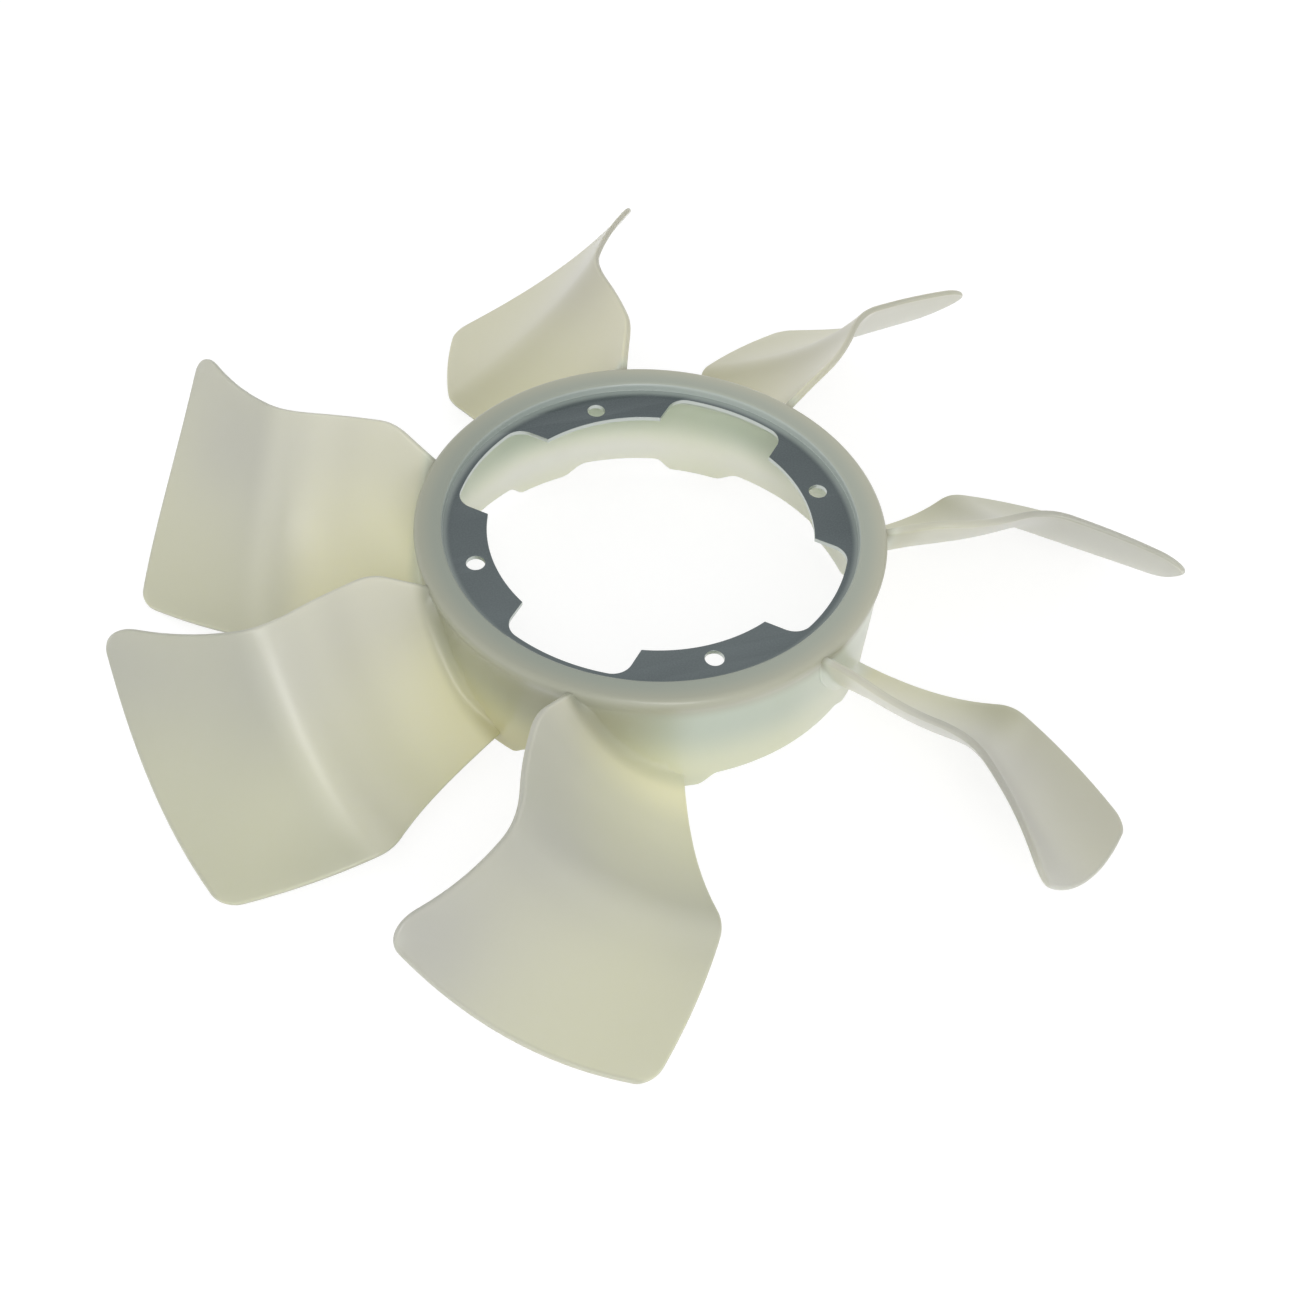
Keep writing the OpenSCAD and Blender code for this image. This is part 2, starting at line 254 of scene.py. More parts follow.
def section(r):
    """Angle and height of the upper end of the blade's section at radius r, and its run and fall."""
    angle = along_upper(r, UPPER_ANGLES)
    height = along_upper(r, UPPER_HEIGHTS)
    run = r * np.radians(along_lower(r, LOWER_ANGLES) - angle)
    fall = along_lower(r, LOWER_HEIGHTS) - height
    return angle, height, run, fall


def mid_point(r, s):
    """Points of the blade's middle surface at radii r and shares s of the chord."""
    angle, height, run, fall = section(r)
    chord = np.hypot(run, fall)
    bow = 4 * s * (1 - s) * along_lower(r, BOWS)
    turn = np.radians(angle) + (s * run + bow * fall / chord) / r
    z = height + s * fall - bow * run / chord
    return np.stack([r * np.cos(turn), r * np.sin(turn), z], axis=-1)


def blade_normal(r, s):
    step_r = 0.01
    step_s = 0.002
    along = mid_point(r + step_r, s) - mid_point(r - step_r, s)
    across = mid_point(r, s + step_s) - mid_point(r, s - step_s)
    n = np.cross(along, across)
    return n / np.linalg.norm(n, axis=-1, keepdims=True)


def corner_cut(r, corner):
    """Chord taken off at radius r by a rounded tip corner."""
    t = np.maximum(0, r - (TIP_R - corner))
    return corner - np.sqrt(np.maximum(0, corner * corner - t * t))


def corner_distance(u, from_tip, corner):
    """Distance to the blade's outline near one edge: u from that edge, and from_tip from the tip."""
    plain = np.minimum(u, from_tip)
    in_corner = (u < corner) & (from_tip < corner)
    round_part = corner - np.hypot(corner - np.minimum(u, corner), corner - np.minimum(from_tip, corner))
    return np.where(in_corner, round_part, plain)


def evenly_after(start, end, steps):
    """Evenly spaced values after the start, up to the end."""
    return np.linspace(start, end, steps + 1)[1:]


def blade_radii():
    """Radii of the blade's sections, closer at the fillet, the shoulder, the crease and the tip."""
    fillet = ROOT_R + TOP_FLARE * np.array(FILLET_SHARES)
    neck = np.linspace(ROOT_R + TOP_FLARE * NECK_START_SHARE, SHOULDER_R - SHOULDER_ROLL, NECK_SECTIONS)
    shoulder = evenly_after(SHOULDER_R - SHOULDER_ROLL, SHOULDER_R + SHOULDER_ROLL, SHOULDER_SECTIONS)
    panel = evenly_after(SHOULDER_R + SHOULDER_ROLL, CREASE_R - CREASE_ROLL, PANEL_SECTIONS)
    crease = evenly_after(CREASE_R - CREASE_ROLL, CREASE_R + CREASE_ROLL, CREASE_SECTIONS)
    outer = evenly_after(CREASE_R + CREASE_ROLL, TIP_R - UPPER_CORNER_R, PANEL_SECTIONS)
    turn = np.radians(evenly_after(0, CORNER_ARC, CORNER_SECTIONS))
    corner = TIP_R - UPPER_CORNER_R * (1 - np.sin(turn))
    edge = TIP_R - BLADE_EDGE_ROUND * EDGE_SHARES[::-1]
    edge = edge[edge > corner[-1] + CLOSEST_SECTIONS]
    return np.concatenate([[BURIED_R], fillet, neck, shoulder, panel, crease, outer, corner, edge])


def eased(share):
    share = np.clip(share, 0, 1)
    return share * share * (3 - 2 * share)


def root_flare(beyond_wall, size):
    """Extra half thickness near the hub: a round fillet of radius size."""
    share = np.clip(beyond_wall / size, 0, 1)
    return size * (1 - np.sqrt(np.clip(1 - (1 - share) ** 2, 0, 1)))


def blade_solid():
    """Vertices and faces of one blade along +X, in millimetres."""
    r = blade_radii()[:, None]
    run, fall = section(r)[2:]
    chord = np.hypot(run, fall)
    first = corner_cut(r, UPPER_CORNER_R)
    last = chord - corner_cut(r, LOWER_CORNER_R)
    rim_steps = BLADE_EDGE_ROUND * EDGE_SHARES
    inside = np.linspace(0, 1, CHORD_STEPS + 1)[1:-1]
    span = last - first - 2 * rim_steps[-1]
    u = np.concatenate([
        first + rim_steps[None, :],
        first + rim_steps[-1] + span * inside[None, :],
        last - rim_steps[None, ::-1]], axis=1)
    s = u / chord
    from_tip = TIP_R - r + 0 * u
    distance = np.minimum(corner_distance(u, from_tip, UPPER_CORNER_R),
                          corner_distance(chord - u, from_tip, LOWER_CORNER_R))
    distance = np.clip(distance, 0, None)
    share = np.clip(distance / BLADE_EDGE_ROUND, 0, 1)
    rounded = np.clip(1 - (1 - share) ** EDGE_SQUARENESS, 0, 1) ** (1 / EDGE_SQUARENESS)
    taper = BLADE_T_ROOT + (BLADE_T_TIP - BLADE_T_ROOT) * (r - ROOT_R) / (TIP_R - ROOT_R)
    middle = mid_point(r, s)
    wall_share = np.clip((BAND_Z - middle[..., 2]) / (BAND_Z - WALL_Z), 0, 1)
    wall_r = WALL_TOP_R - WALL_DRAFT * wall_share
    fade = eased(u / UPPER_FADE) * eased((chord - u) / LOWER_FADE)
    rounded[:, 0] = 0
    rounded[:, -1] = 0
    rounded[-1, :] = 0
    above = (taper / 2 + fade * root_flare(r - wall_r, TOP_FLARE)) * rounded
    below = (taper / 2 + fade * root_flare(r - wall_r, UNDER_FLARE)) * rounded
    n = blade_normal(r, s)
    rows, columns = rounded.shape
    top = middle + n * above[..., None]
    under = middle - n * below[..., None]
    vertices = []
    index_top = np.zeros((rows, columns), int)
    index_under = np.zeros((rows, columns), int)
    for i in range(rows):
        for k in range(columns):
            index_top[i, k] = len(vertices)
            vertices.append(top[i, k])
            if rounded[i, k] > 0:
                index_under[i, k] = len(vertices)
                vertices.append(under[i, k])
            else:
                index_under[i, k] = index_top[i, k]
    faces = []
    for i in range(rows - 1):
        for k in range(columns - 1):
            faces.append((index_top[i, k], index_top[i, k + 1], index_top[i + 1, k + 1], index_top[i + 1, k]))
            faces.append((index_under[i, k], index_under[i + 1, k],
                          index_under[i + 1, k + 1], index_under[i, k + 1]))
    for k in range(columns - 1):
        faces.append(tuple(dict.fromkeys(
            (index_top[0, k + 1], index_top[0, k], index_under[0, k], index_under[0, k + 1]))))
    return np.array(vertices), faces


# Hub

def arc(x, y, radius, start, end, steps):
    """Points of an arc about x, y from one angle to another, in degrees."""
    turn = np.radians(np.linspace(start, end, steps + 1))
    return [(x + radius * math.cos(a), y + radius * math.sin(a)) for a in turn]


def lug_depth(theta):
    """How far the hub's lower edge hangs below the wall's plain edge, round the hub."""
    middle_r = (WALL_LOW_R + CORE_LOW_R) / 2
    lug_angle = LOWER_ANGLES[0] + math.degrees((LUG_BEYOND - LUG_W / 2) / WALL_LOW_R)
    depth = np.zeros_like(theta)
    for angle in BLADE_ANGLES:
        away = (theta - math.radians(angle + lug_angle) + math.pi) % (2 * math.pi) - math.pi
        y = middle_r * np.sin(away)
        y = np.where(np.abs(away) < math.pi / 2, y, middle_r * 2)
        left = np.clip((y + LUG_W / 2 + LUG_LONG_SLOPE) / LUG_LONG_SLOPE, 0, 1)
        right = np.clip((LUG_W / 2 + LUG_SHORT_SLOPE - y) / LUG_SHORT_SLOPE, 0, 1)
        rise = (1 - np.cos(math.pi * np.minimum(left, right))) / 2
        depth = np.maximum(depth, LUG_DROP * rise)
    return depth


def wall_outside(z):
    return WALL_TOP_R - WALL_DRAFT * (BAND_Z - z) / (BAND_Z - WALL_Z)


def wall_inside(z):
    return CORE_TOP_R + CORE_DRAFT * (LEDGE_Z - z) / (LEDGE_Z - WALL_Z)


def hub_section(low):
    """Closed section of the hub at one angle, whose lower edge is at height low."""
    fine = LOWER_EDGE_ROUND
    foot = BORE_FOOT_ROUND
    points = arc(BORE_R - foot, foot, foot, -90, 0, BORE_EDGE_STEPS)
    points += [(BORE_R, foot + HOLD), (BORE_R, RIM_RISE - BORE_EDGE_ROUND - HOLD)]
    points += arc(BORE_R + BORE_EDGE_ROUND, RIM_RISE - BORE_EDGE_ROUND, BORE_EDGE_ROUND, 180, 90,
                  BORE_EDGE_STEPS)
    points.append((BORE_R + BORE_EDGE_ROUND + RIM_TOP_INNER_HOLD, RIM_RISE))
    points += [(RIM_R - RIM_OUTER_ROUND - hold, RIM_RISE) for hold in RIM_TOP_OUTER_HOLDS]
    points += arc(RIM_R - RIM_OUTER_ROUND, RIM_RISE - RIM_OUTER_ROUND, RIM_OUTER_ROUND, 90, 0,
                  RIM_EDGE_STEPS)
    blend_top = RIM_RISE - RIM_OUTER_ROUND - HOLD
    for share in BLEND_SHARES:
        z = blend_top + (RIM_BLEND_Z - blend_top) * share
        points.append((RIM_R + (wall_outside(z) - RIM_R) * (1 - math.cos(math.pi * share)) / 2, z))
    outer_low = low + fine
    for share in OUTER_WALL_SHARES:
        z = RIM_BLEND_Z + (outer_low - RIM_BLEND_Z) * share
        points.append((wall_outside(z), z))
    r_out = wall_outside(outer_low) - fine
    points += arc(r_out, outer_low, fine, 0, -90, LOWER_EDGE_STEPS)[1:]
    r_in = wall_inside(outer_low) + fine
    points += arc(r_in, outer_low, fine, -90, -180, LOWER_EDGE_STEPS)
    start = LEDGE_Z - LEDGE_CORNER
    for share in INNER_WALL_SHARES:
        z = outer_low + (start - outer_low) * share
        points.append((wall_inside(z), z))
    points += [(wall_inside(start) - inward, LEDGE_Z - below) for inward, below in LEDGE_CORNER_POINTS]
    points.append((BORE_R + LEDGE_END, LEDGE_Z))
    points += arc(BORE_R + LEDGE_ROUND, LEDGE_Z + LEDGE_ROUND, LEDGE_ROUND, 270, 180, LEDGE_EDGE_STEPS)
    points += [(BORE_R, -STEEL_T - HOLD), (BORE_R, -STEEL_T), (STEEL_R, -STEEL_T), (STEEL_R, 0.0)]
    return points


def hub_solid():
    """Vertices and faces of the hub as one closed ring, in millimetres."""
    theta = np.arange(HUB_STEPS) * 2 * math.pi / HUB_STEPS
    depth = lug_depth(theta)
    rings = [np.array(hub_section(WALL_Z - d)) for d in depth]
    count = len(rings[0])
    vertices = np.concatenate([
        np.stack([ring[:, 0] * math.cos(a), ring[:, 0] * math.sin(a), ring[:, 1]], axis=1)
        for ring, a in zip(rings, theta)])
    faces = []
    for i in range(HUB_STEPS):
        j = (i + 1) % HUB_STEPS
        for k in range(count):
            m = (k + 1) % count
            faces.append((i * count + k, j * count + k, j * count + m, i * count + m))
    return vertices, faces


# Making objects

def new_object(name, data):
    made = bpy.data.objects.new(name, data)
    bpy.context.scene.collection.objects.link(made)
    return made


def face_outwards(mesh, merge_distance=0.0):
    """Turns the faces outwards, once points closer than a distance in millimetres are merged."""
    work = bmesh.new()
    work.from_mesh(mesh)
    if merge_distance > 0:
        bmesh.ops.remove_doubles(work, verts=work.verts, dist=merge_distance * METRE)
    bmesh.ops.recalc_face_normals(work, faces=work.faces)
    work.to_mesh(mesh)
    work.free()


def shade_smooth(mesh, sharp_angle):
    """Smooth shading, except at edges sharper than an angle in degrees."""
    mesh.polygons.foreach_set("use_smooth", [True] * len(mesh.polygons))
    mesh.set_sharp_from_angle(angle=math.radians(sharp_angle))


def new_mesh_object(name, vertices, faces):
    mesh = bpy.data.meshes.new(name)
    mesh.from_pydata((np.array(vertices) * METRE).tolist(), [], [tuple(int(i) for i in f) for f in faces])
    mesh.update()
    face_outwards(mesh)
    return new_object(name, mesh)


def finished_mesh(made):
    """The mesh that an object's curve or modifiers make."""
    bpy.context.view_layer.update()
    depsgraph = bpy.context.evaluated_depsgraph_get()
    return bpy.data.meshes.new_from_object(made.evaluated_get(depsgraph), depsgraph=depsgraph)


def apply_modifiers(made):
    """Replaces the object's mesh with what its modifiers make."""
    finished = finished_mesh(made)
    made.modifiers.clear()
    old = made.data
    made.data = finished
    bpy.data.meshes.remove(old)


def make_moulding():
    """The nylon moulding: the hub's ring joined with its seven blades into one closed mesh."""
    hub = new_mesh_object("fan_moulding_detailed", *hub_solid())
    vertices, faces = blade_solid()
    blades = bpy.data.collections.new("blades")
    for angle in BLADE_ANGLES:
        blade = new_mesh_object("blade", vertices @ turn_matrix(math.radians(angle)).T, faces)
        bpy.context.scene.collection.objects.unlink(blade)
        blades.objects.link(blade)
    join = hub.modifiers.new("join", "BOOLEAN")
    join.operation = "UNION"
    join.operand_type = "COLLECTION"
    join.collection = blades
    join.solver = "MANIFOLD"
    apply_modifiers(hub)
    for blade in list(blades.objects):
        bpy.data.objects.remove(blade)
    bpy.data.collections.remove(blades)
    shade_smooth(hub.data, NYLON_SHARP_ANGLE)
    return hub


def ring_outline():
    """The steel ring's inner outline: four lands and four recesses with rounded corners."""
    corner_y = RECESS_W / 2 - RECESS_CORNER_R
    corner_x = math.sqrt((RECESS_R - RECESS_CORNER_R) ** 2 - corner_y ** 2)
    tilt = math.degrees(math.atan2(corner_y, corner_x))
    side_x = math.sqrt(LAND_R ** 2 - (RECESS_W / 2) ** 2)
    half_recess = math.degrees(math.atan2(RECESS_W / 2, side_x))
    recess = [(side_x, -RECESS_W / 2)]
    recess += arc(corner_x, -corner_y, RECESS_CORNER_R, -90, -tilt, RECESS_CORNER_STEPS)
    recess += arc(0, 0, RECESS_R, -tilt, tilt, LAND_STEPS)[1:-1]
    recess += arc(corner_x, corner_y, RECESS_CORNER_R, tilt, 90, RECESS_CORNER_STEPS)
    recess += [(side_x, RECESS_W / 2)]
    land = arc(0, 0, LAND_R, half_recess, 360 / BOLT_COUNT - half_recess, LAND_STEPS)[1:-1]
    points = []
    for k in range(BOLT_COUNT):
        turn = math.radians(360 * (k + 0.5) / BOLT_COUNT)
        points += [turned(x, y, turn) for x, y in recess + land]
    return points


def make_ring():
    """The stamped steel ring, from its outlines, with its edges lightly rounded."""
    curve = bpy.data.curves.new("steel_ring_outline", "CURVE")
    curve.dimensions = "2D"
    curve.fill_mode = "BOTH"
    curve.resolution_u = 1
    outlines = [arc(0, 0, STEEL_R, 0, 360, STEEL_OUTER_STEPS)[:-1], ring_outline()]
    for x, y in arc(0, 0, BOLT_CIRCLE_D / 2, 0, 360, BOLT_COUNT)[:-1]:
        outlines.append(arc(x, y, BOLT_HOLE_D / 2, 0, 360, BOLT_HOLE_STEPS)[:-1])
    for outline in outlines:
        spline = curve.splines.new("POLY")
        spline.points.add(len(outline) - 1)
        for point, (x, y) in zip(spline.points, outline):
            point.co = (x * METRE, y * METRE, 0, 1)
        spline.use_cyclic_u = True
    curve.extrude = (STEEL_T / 2 - STEEL_EDGE_ROUND) * METRE
    curve.bevel_depth = STEEL_EDGE_ROUND * METRE
    curve.bevel_resolution = 2
    curve.offset = -STEEL_EDGE_ROUND * METRE
    source = new_object("steel_ring_source", curve)
    mesh = finished_mesh(source)
    mesh.transform(Matrix.Translation((0, 0, -STEEL_T / 2 * METRE)))
    bpy.data.objects.remove(source)
    bpy.data.curves.remove(curve)
    face_outwards(mesh, MERGE_DISTANCE)
    shade_smooth(mesh, STEEL_SHARP_ANGLE)
    return new_object("steel_ring_detailed", mesh)


# Directions as seen in the photo

# The model is turned by this angle, in degrees, against the frame that the camera was fitted in
MODEL_TURN = 21.8


def from_camera_side(right, toward, up):
    """A place or direction given as seen in the photo: to the right, towards the camera, and up."""
    x, y = turned(right, -toward, math.radians(-MODEL_TURN))
    return (x, y, up)


# Node trees

def srgb(red, green, blue):
    """Linear colour of an sRGB colour written from 0 to 255."""
    def linear(value):
        value = value / 255
        if value <= 0.04045:
            return value / 12.92
        return ((value + 0.055) / 1.055) ** 2.4
    return (linear(red), linear(green), linear(blue), 1.0)


class Nodes:
    """Short calls for building a node tree. A value is a number, a colour or another node's output."""

    def __init__(self, owner):
        owner.use_nodes = True
        self.tree = owner.node_tree
        self.tree.nodes.clear()

    def link(self, output, target):
        self.tree.links.new(output, target)

    def put(self, socket, value):
        """Sets a socket to a value, or links it to an output."""
        if isinstance(value, bpy.types.NodeSocket):
            self.link(value, socket)
        else:
            socket.default_value = value

    def add(self, kind, values=None, **settings):
        """A new node with some settings, and values in the sockets of the given names or numbers."""
        node = self.tree.nodes.new(kind)
        for name, value in settings.items():
            setattr(node, name, value)
        for name, value in (values or {}).items():
            self.put(node.inputs[name], value)
        return node

    def ramp(self, value, low, high, to_low=0.0, to_high=1.0):
        """Smooth step from one value to another, while the given value goes from low to high."""
        values = {"Value": value, "From Min": low, "From Max": high, "To Min": to_low, "To Max": to_high}
        return self.add("ShaderNodeMapRange", values, interpolation_type="SMOOTHSTEP").outputs["Result"]

    def zone(self, length, limits):
        """Mask that is 0 at the first limit of a radius or height and 1 at the second, in millimetres."""
        return self.ramp(length, limits[0] * METRE, limits[1] * METRE)

    def math(self, operation, a, b=0.0):
        return self.add("ShaderNodeMath", {0: a, 1: b}, operation=operation).outputs[0]

    def product(self, first, *others):
        for other in others:
            first = self.math("MULTIPLY", first, other)
        return first

    def split(self, vector):
        """The X, Y and Z parts of a vector."""
        return self.add("ShaderNodeSeparateXYZ", {0: vector}).outputs

    def dot(self, vector, way):
        return self.add("ShaderNodeVectorMath", {0: vector, 1: way}, operation="DOT_PRODUCT").outputs["Value"]

    def mix(self, share, a, b, blend="MIX"):
        node = self.add("ShaderNodeMix", data_type="RGBA", blend_type=blend)
        sockets = [s for s in node.inputs if s.enabled]
        for socket, value in zip(sockets, (share, a, b)):
            self.put(socket, value)
        return [s for s in node.outputs if s.enabled][0]

    def tint(self, colour, mask, factor):
        """The colour multiplied by a factor where the mask is 1."""
        return self.mix(mask, colour, self.mix(1.0, colour, factor, "MULTIPLY"))

    def noise(self, vector, scale, detail, roughness=0.5):
        values = {"Vector": vector, "Scale": scale, "Detail": detail, "Roughness": roughness}
        return self.add("ShaderNodeTexNoise", values).outputs["Fac"]

    def bump(self, height, strength, distance):
        """Normal of a surface with fine bumps. The distance is in millimetres."""
        values = {"Height": height, "Strength": strength, "Distance": distance * METRE}
        return self.add("ShaderNodeBump", values).outputs["Normal"]

    def finish(self, surface, kind="ShaderNodeOutputMaterial"):
        self.add(kind, {"Surface": surface.outputs[0]})


class Spot:
    """Where a point of the surface lies: its place, its height, and its radius and side of the fan's axis."""

    def __init__(self, n):
        self.n = n
        self.place = n.add("ShaderNodeTexCoord").outputs["Object"]
        self.x, self.y, self.height = n.split(self.place)
        flat = n.add("ShaderNodeVectorMath", {0: self.place, 1: (1, 1, 0)}, operation="MULTIPLY")
        self.flat = flat.outputs["Vector"]
        self.radius = n.add("ShaderNodeVectorMath", {0: self.flat}, operation="LENGTH").outputs["Value"]

    def side(self, side, to_low=0.0, to_high=1.0):
        """Mask of one side of the fan, from to_low to to_high."""
        right, toward, start, full = side
        cosine = self.n.math("DIVIDE", self.n.dot(self.flat, from_camera_side(right, toward, 0)), self.radius)
        return self.n.ramp(cosine, start, full, to_low, to_high)


# Nylon

# Masks by radius or height, in millimetres: where each starts and where it is full
BLADE_LOW_Z = (4, -50)
INNER_PANEL_R = (160, 118)
BY_HUB_R = (130, 98)
BY_HUB_Z = (0, -35)
CREASE_START_R = (138, 152)
CREASE_END_R = (180, 164)
BEND_START_R = (128, 146)
BEND_END_R = (172, 158)
NEAR_MIDDLE_START_R = (103, 118)
NEAR_MIDDLE_END_R = (185, 150)
OUTER_PANEL_R = (155, 172)
PALE_BLADE_R = (158, 135)
UNDER_FACE_R = (104, 112)
TIP_EDGE_R = (TIP_R - 1.6, TIP_R - 0.3)
WALL_R = (102, 94.5)
WALL_LOW_Z = (-14, -44)
WALL_BROWN_Z = (-8, -36)
OVER_STEEL_R = (99, 95)
OVER_STEEL_Z = (-9, -0.5)
RIM_ACROSS_R = (86, 95)
BORE_FACE_R = (84.4, 83.9)
BORE_FACE_Z = (-0.5, -0.1)
INNER_WALL_R = (90.5, 88.5)
INNER_WALL_Z = (-5, -9)
INNER_WALL_LOW_Z = (-15, -38)

# Masks by side, as seen in the photo: the direction to the right and towards the camera, and the
# cosines of the angle from it at which each starts and at which it is full
# These masks place painted light and shade
LEFT_BLADES = (-0.75, 0.66, 0.2, 0.5)
BEND_SIDE = (-1, 0, 0.25, 0.55)
FAR_BLADES = (0, -1, 0.5, 0.9)
NEAR_BLADE = (0, 1, 0.84, 0.96)
LOWER_RIGHT_BLADE = (0.87, 0.5, 0.9, 0.97)
LOWER_LEFT_BLADE = (-0.75, 0.66, 0.88, 0.97)
LEFT_BLADE = (-1, 0, 0.82, 0.98)
WALL_RIGHT = (1, 0, 0.55, 0.9)
WALL_BROWN = (-0.5621, 0.8271, 0.64, 0.92)
RIM_RIGHT = (0.85, -0.53, -1.0, 1.0)
INNER_WALL_RIGHT = (0.85, -0.53, 0.3, 1.0)

# Masks by the surface's normal: its part round the fan's axis, and its upward part
# These masks place painted shade on the edges and painted light on the under faces
UPPER_EDGE_ROUND_PART = (0.3, -0.3)
UPPER_EDGE_UP_PART = (0.0, 0.3)
UNDER_FACE_UP_PART = (-0.02, -0.2)
LOWER_EDGE_ROUND_PART = (0.4, 0.7)
LOWER_EDGE_UP_PART = (0.35, 0.1)

# Colours, tints that multiply a colour, and the shares in which they are mixed in
# Painted light on the panels: paler and yellower low down, on the inner panels and by the hub
OUTER_HIGH = srgb(181, 181, 174)
OUTER_LOW = srgb(204, 204, 184)
INNER_HIGH = srgb(204, 203, 189)
INNER_LOW = srgb(232, 231, 204)
HUB_YELLOW = srgb(238, 234, 200)
HUB_YELLOW_LEFT = srgb(250, 246, 212)
HUB_YELLOW_SHARE = 0.5
# Painted shade along the crease, and painted light on the bend of the three lower left blades
CREASE_PAINTED_SHADE = srgb(246, 245, 240)
CREASE_SHARE = 0.4
BEND_PAINTED_LIGHT = srgb(246, 245, 228)
BEND_SHARES = (0.14, 0.27)
# Painted light on the far blades
FAR_TINT = srgb(255, 253, 245)
FAR_YELLOW = srgb(240, 236, 208)
FAR_YELLOW_SHARE = 0.15
# Painted shade and light on single blades
NEAR_TINT = srgb(241, 242, 245)
LOWER_RIGHT_TINT = srgb(238, 237, 240)
LOWER_LEFT_TINT = srgb(244, 245, 243)
LEFT_PALE = srgb(246, 244, 226)
LEFT_PALE_SHARE = 0.14
LEFT_LOW_PALE = srgb(252, 248, 213)
LEFT_LOW_PALE_SHARE = 0.49
BLADE_CLOUD = srgb(212, 212, 184)
BLADE_CLOUD_SHARE = 0.35
# Painted shade on the edges, and painted light on the under faces
UPPER_EDGE_DARK = srgb(166, 166, 160)
UPPER_EDGE_SHARE = 0.22
UNDER_PALE = srgb(240, 240, 234)
UNDER_SHARE = 0.22
UNDER_FAR_SHARE = 0.3
LOWER_EDGE_DARK = srgb(176, 176, 164)
LOWER_EDGE_SHARE = 0.5
# Hub wall: painted light low down and at the right, painted shade between two of the blades
WALL_HIGH = srgb(188, 197, 184)
WALL_LOW = srgb(218, 220, 195)
WALL_CLOUD = srgb(204, 208, 187)
WALL_CLOUD_SHARE = 0.3
WALL_RIGHT_PALE = srgb(232, 235, 224)
WALL_RIGHT_SHARE = 0.6
WALL_BROWN_HIGH_TINT = srgb(216, 208, 192)
WALL_BROWN_LOW_TINT = srgb(242, 236, 215)
RIM_INNER = srgb(169, 175, 163)
RIM_OUTER = srgb(186, 186, 168)
# Painted shade on the rim and its bore, heavier on the left than on the right
RIM_LEFT_TINT = srgb(222, 224, 223)
RIM_RIGHT_TINT = srgb(248, 248, 247)
# Painted light on the bore of the rim
BORE_BLUE = srgb(180, 189, 184)
# Inner wall: painted light coming through it, painted shade high up and at the right
INNER_WALL_HIGH = srgb(193, 204, 184)
INNER_WALL_LOW = srgb(255, 255, 240)
INNER_WALL_CLOUD = srgb(228, 231, 206)
INNER_WALL_CLOUD_SHARE = 0.4
INNER_WALL_RIGHT_TINT = srgb(251, 251, 252)

# Fine surface. The roughness stays above 0.274, because the denoiser leaves patches where it is crossed.
CLOUD_SCALE = 13
CLOUD_DETAIL = 1.0
BLADE_CLOUD_RANGE = (0.2, 0.8)
CLOUD_RANGE = (0.3, 0.7)
NYLON_ROUGHNESS = (0.29, 0.32)
NYLON_IOR = 1.53
NYLON_SCATTER = 1.5
EVEN_SCATTER = (1.0, 1.0, 1.0)
GRAIN_DETAIL = 2.0
NYLON_GRAIN_SCALE = 260
NYLON_GRAIN_STRENGTH = 0.08
NYLON_GRAIN_DISTANCE = 0.3


def panel_colour(n, spot, low, left_blades, far_blades):
    """Colour of the blades' panels: greyer high up, yellower towards the lower edge and the hub, as painted
    light.
    """
    # Painted light: paler and yellower low down, and paler on the inner panels
    outer = n.mix(low, OUTER_HIGH, OUTER_LOW)
    inner = n.mix(low, INNER_HIGH, INNER_LOW)
    colour = n.mix(n.zone(spot.radius, INNER_PANEL_R), outer, inner)
    # Painted light by the hub, paler on the left blades
    by_hub = n.product(n.zone(spot.radius, BY_HUB_R), n.zone(spot.height, BY_HUB_Z), HUB_YELLOW_SHARE)
    colour = n.mix(by_hub, colour, n.mix(left_blades, HUB_YELLOW, HUB_YELLOW_LEFT))
    # Painted shade: darker and yellower along the crease, but painted light, paler, there on the three blades
    # at the lower left of the view
    crease = n.product(n.zone(spot.radius, CREASE_START_R), n.zone(spot.radius, CREASE_END_R),
                       n.math("SUBTRACT", 1.0, left_blades), CREASE_SHARE)
    colour = n.tint(colour, crease, CREASE_PAINTED_SHADE)
    bend = n.product(n.zone(spot.radius, BEND_START_R), n.zone(spot.radius, BEND_END_R),
                     left_blades, spot.side(BEND_SIDE, *BEND_SHARES))
    colour = n.mix(bend, colour, BEND_PAINTED_LIGHT)
    # Painted light: the far blades are paler and yellower
    colour = n.tint(colour, far_blades, FAR_TINT)
    return n.mix(n.product(far_blades, FAR_YELLOW_SHARE), colour, FAR_YELLOW)


def single_blades(n, spot, low, colour):
    """The blades' colour with painted light and shade on single blades."""
    # Painted shade: the blade at the bottom of the view is darker in its middle, and its two neighbours are
    # darker outside
    near_middle = n.product(spot.side(NEAR_BLADE), n.zone(spot.radius, NEAR_MIDDLE_START_R),
                            n.zone(spot.radius, NEAR_MIDDLE_END_R))
    colour = n.tint(colour, near_middle, NEAR_TINT)
    outside = n.zone(spot.radius, OUTER_PANEL_R)
    colour = n.tint(colour, n.product(spot.side(LOWER_RIGHT_BLADE), outside), LOWER_RIGHT_TINT)
    colour = n.tint(colour, n.product(spot.side(LOWER_LEFT_BLADE), outside), LOWER_LEFT_TINT)
    # Painted light: the blade on the left of the view is paler near the hub, most of all low down
    pale_blade = n.product(spot.side(LEFT_BLADE), n.zone(spot.radius, PALE_BLADE_R))
    colour = n.mix(n.product(pale_blade, LEFT_PALE_SHARE), colour, LEFT_PALE)
    return n.mix(n.product(pale_blade, low, LEFT_LOW_PALE_SHARE), colour, LEFT_LOW_PALE)


